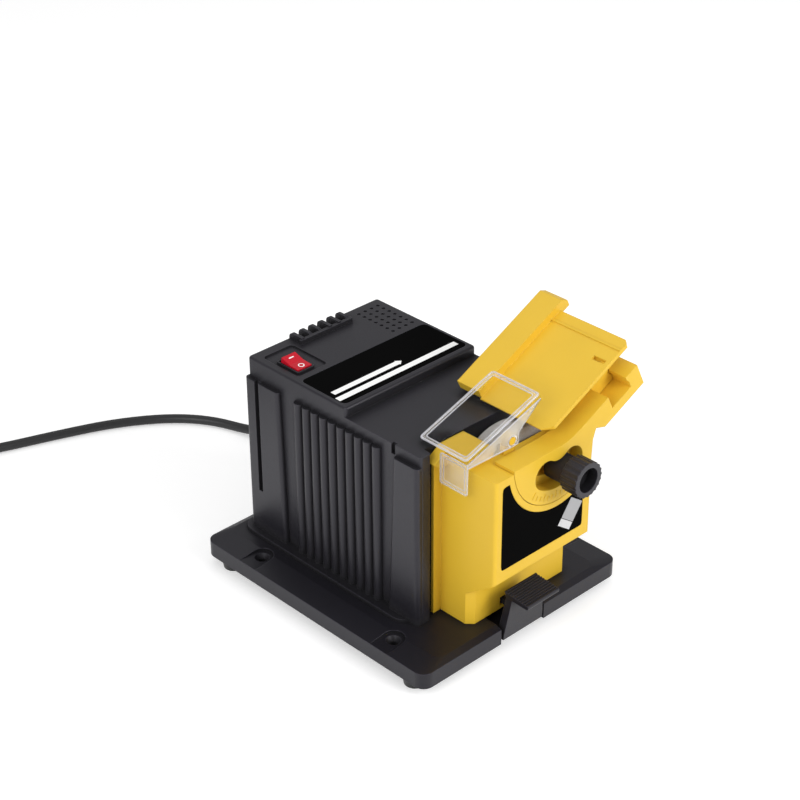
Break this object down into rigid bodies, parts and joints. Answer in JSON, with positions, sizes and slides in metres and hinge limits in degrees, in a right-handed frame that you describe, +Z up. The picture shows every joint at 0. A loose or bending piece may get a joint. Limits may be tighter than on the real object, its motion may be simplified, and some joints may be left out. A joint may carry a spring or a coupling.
{
  "type": "electric sharpener",
  "caption": "Electric bench sharpener with a ribbed black motor housing and a yellow tool rest that tilts and slides beside a grinding wheel under a clear eye shield, with its mains cord.",
  "frame": {"origin": "on the bench, under the middle of the four fixing holes in the base plate", "axes": "+X to the right of someone who faces the attachment, +Y from the attachment to the cord end, +Z up"},
  "size_m": [0.383, 0.5035, 0.1962],
  "materials": {
    "black_plastic": "fine satin grain",
    "yellow_plastic": "smooth, slightly glossy",
    "clear_plastic": "clear and polished",
    "red_plastic": "glossy",
    "black_rubber": "matt",
    "pale_plastic": "matt",
    "steel": "machined",
    "steel_laminations": "stacked sheet, oiled",
    "cast_aluminium": "die-cast",
    "copper_wire": "enamelled copper wire",
    "abrasive": "open-grained stone",
    "plated_brass": "nickel plated"
  },
  "bodies": {
    "machine": {"base_plate": "black_plastic", "motor_housing": "black_plastic", "switch_body": "black_plastic", "plug_body": "black_plastic", "attachment_body": "yellow_plastic", "shield_pin": "yellow_plastic", "rubber_feet": "black_rubber", "cord_strain_relief": "black_rubber", "cord": "black_rubber", "cord_coil": "black_rubber", "cord_tie": "black_rubber", "terminal_block": "pale_plastic", "housing_screws": "steel", "bracket_screws": "steel", "front_bearing": "steel", "rear_bearing": "steel", "motor_bolts": "steel", "motor_spacers": "steel", "clamp_stud": "steel", "latch_pin": "steel", "stator_core": "steel_laminations", "front_bearing_bracket": "cast_aluminium", "rear_bearing_bracket": "cast_aluminium", "stator_windings": "copper_wire", "plug_pins": "plated_brass"},
    "spindle": {"rotor": "steel_laminations", "motor_shaft": "steel", "cooling_fan": "black_plastic", "wheel_hub": "steel", "grinding_wheel": "abrasive", "wheel_washer": "steel", "wheel_nut": "steel"},
    "rocker": {"rocker": "red_plastic"},
    "angle_arm": {"angle_arm": "yellow_plastic"},
    "tool_carriage": {"tool_carriage": "yellow_plastic"},
    "clamp_knob": {"clamp_knob": "black_plastic"},
    "eye_shield": {"eye_shield": "clear_plastic"},
    "release_latch": {"release_latch": "black_plastic"}
  },
  "joints": [
    {"name": "wheel_spin", "type": "hinge", "parent": "machine", "child": "spindle", "pos_m": [0.0093, -0.0777, 0.1117], "axis": [0, 1, 0], "continuous": true},
    {"name": "arm_tilt", "type": "hinge", "parent": "machine", "child": "angle_arm", "pos_m": [0.023, -0.103, 0.144], "axis": [0, -1, 0], "range_deg": [-10, 15]},
    {"name": "carriage_slide", "type": "slide", "parent": "angle_arm", "child": "tool_carriage", "axis": [0, 1, 0], "range_m": [-0.015, 0.015]},
    {"name": "clamp_knob_turn", "type": "hinge", "parent": "machine", "child": "clamp_knob", "pos_m": [0.02919, -0.119, 0.12362], "axis": [0, -1, 0], "range_deg": [0, 270]},
    {"name": "eye_shield_lift", "type": "hinge", "parent": "machine", "child": "eye_shield", "pos_m": [-0.002, -0.0934, 0.1498], "axis": [0, 1, 0], "range_deg": [0, 15]},
    {"name": "latch_press", "type": "hinge", "parent": "machine", "child": "release_latch", "pos_m": [0, -0.078, 0.0112], "axis": [1, 0, 0], "range_deg": [0, 6], "stiffness_Nm_per_rad": 0.6, "springref_deg": -2.86},
    {"name": "rocker_press", "type": "hinge", "parent": "machine", "child": "rocker", "pos_m": [-0.0405, 0.0665, 0.152], "axis": [-1, 0, 0], "range_deg": [0, 20]}
  ]
}
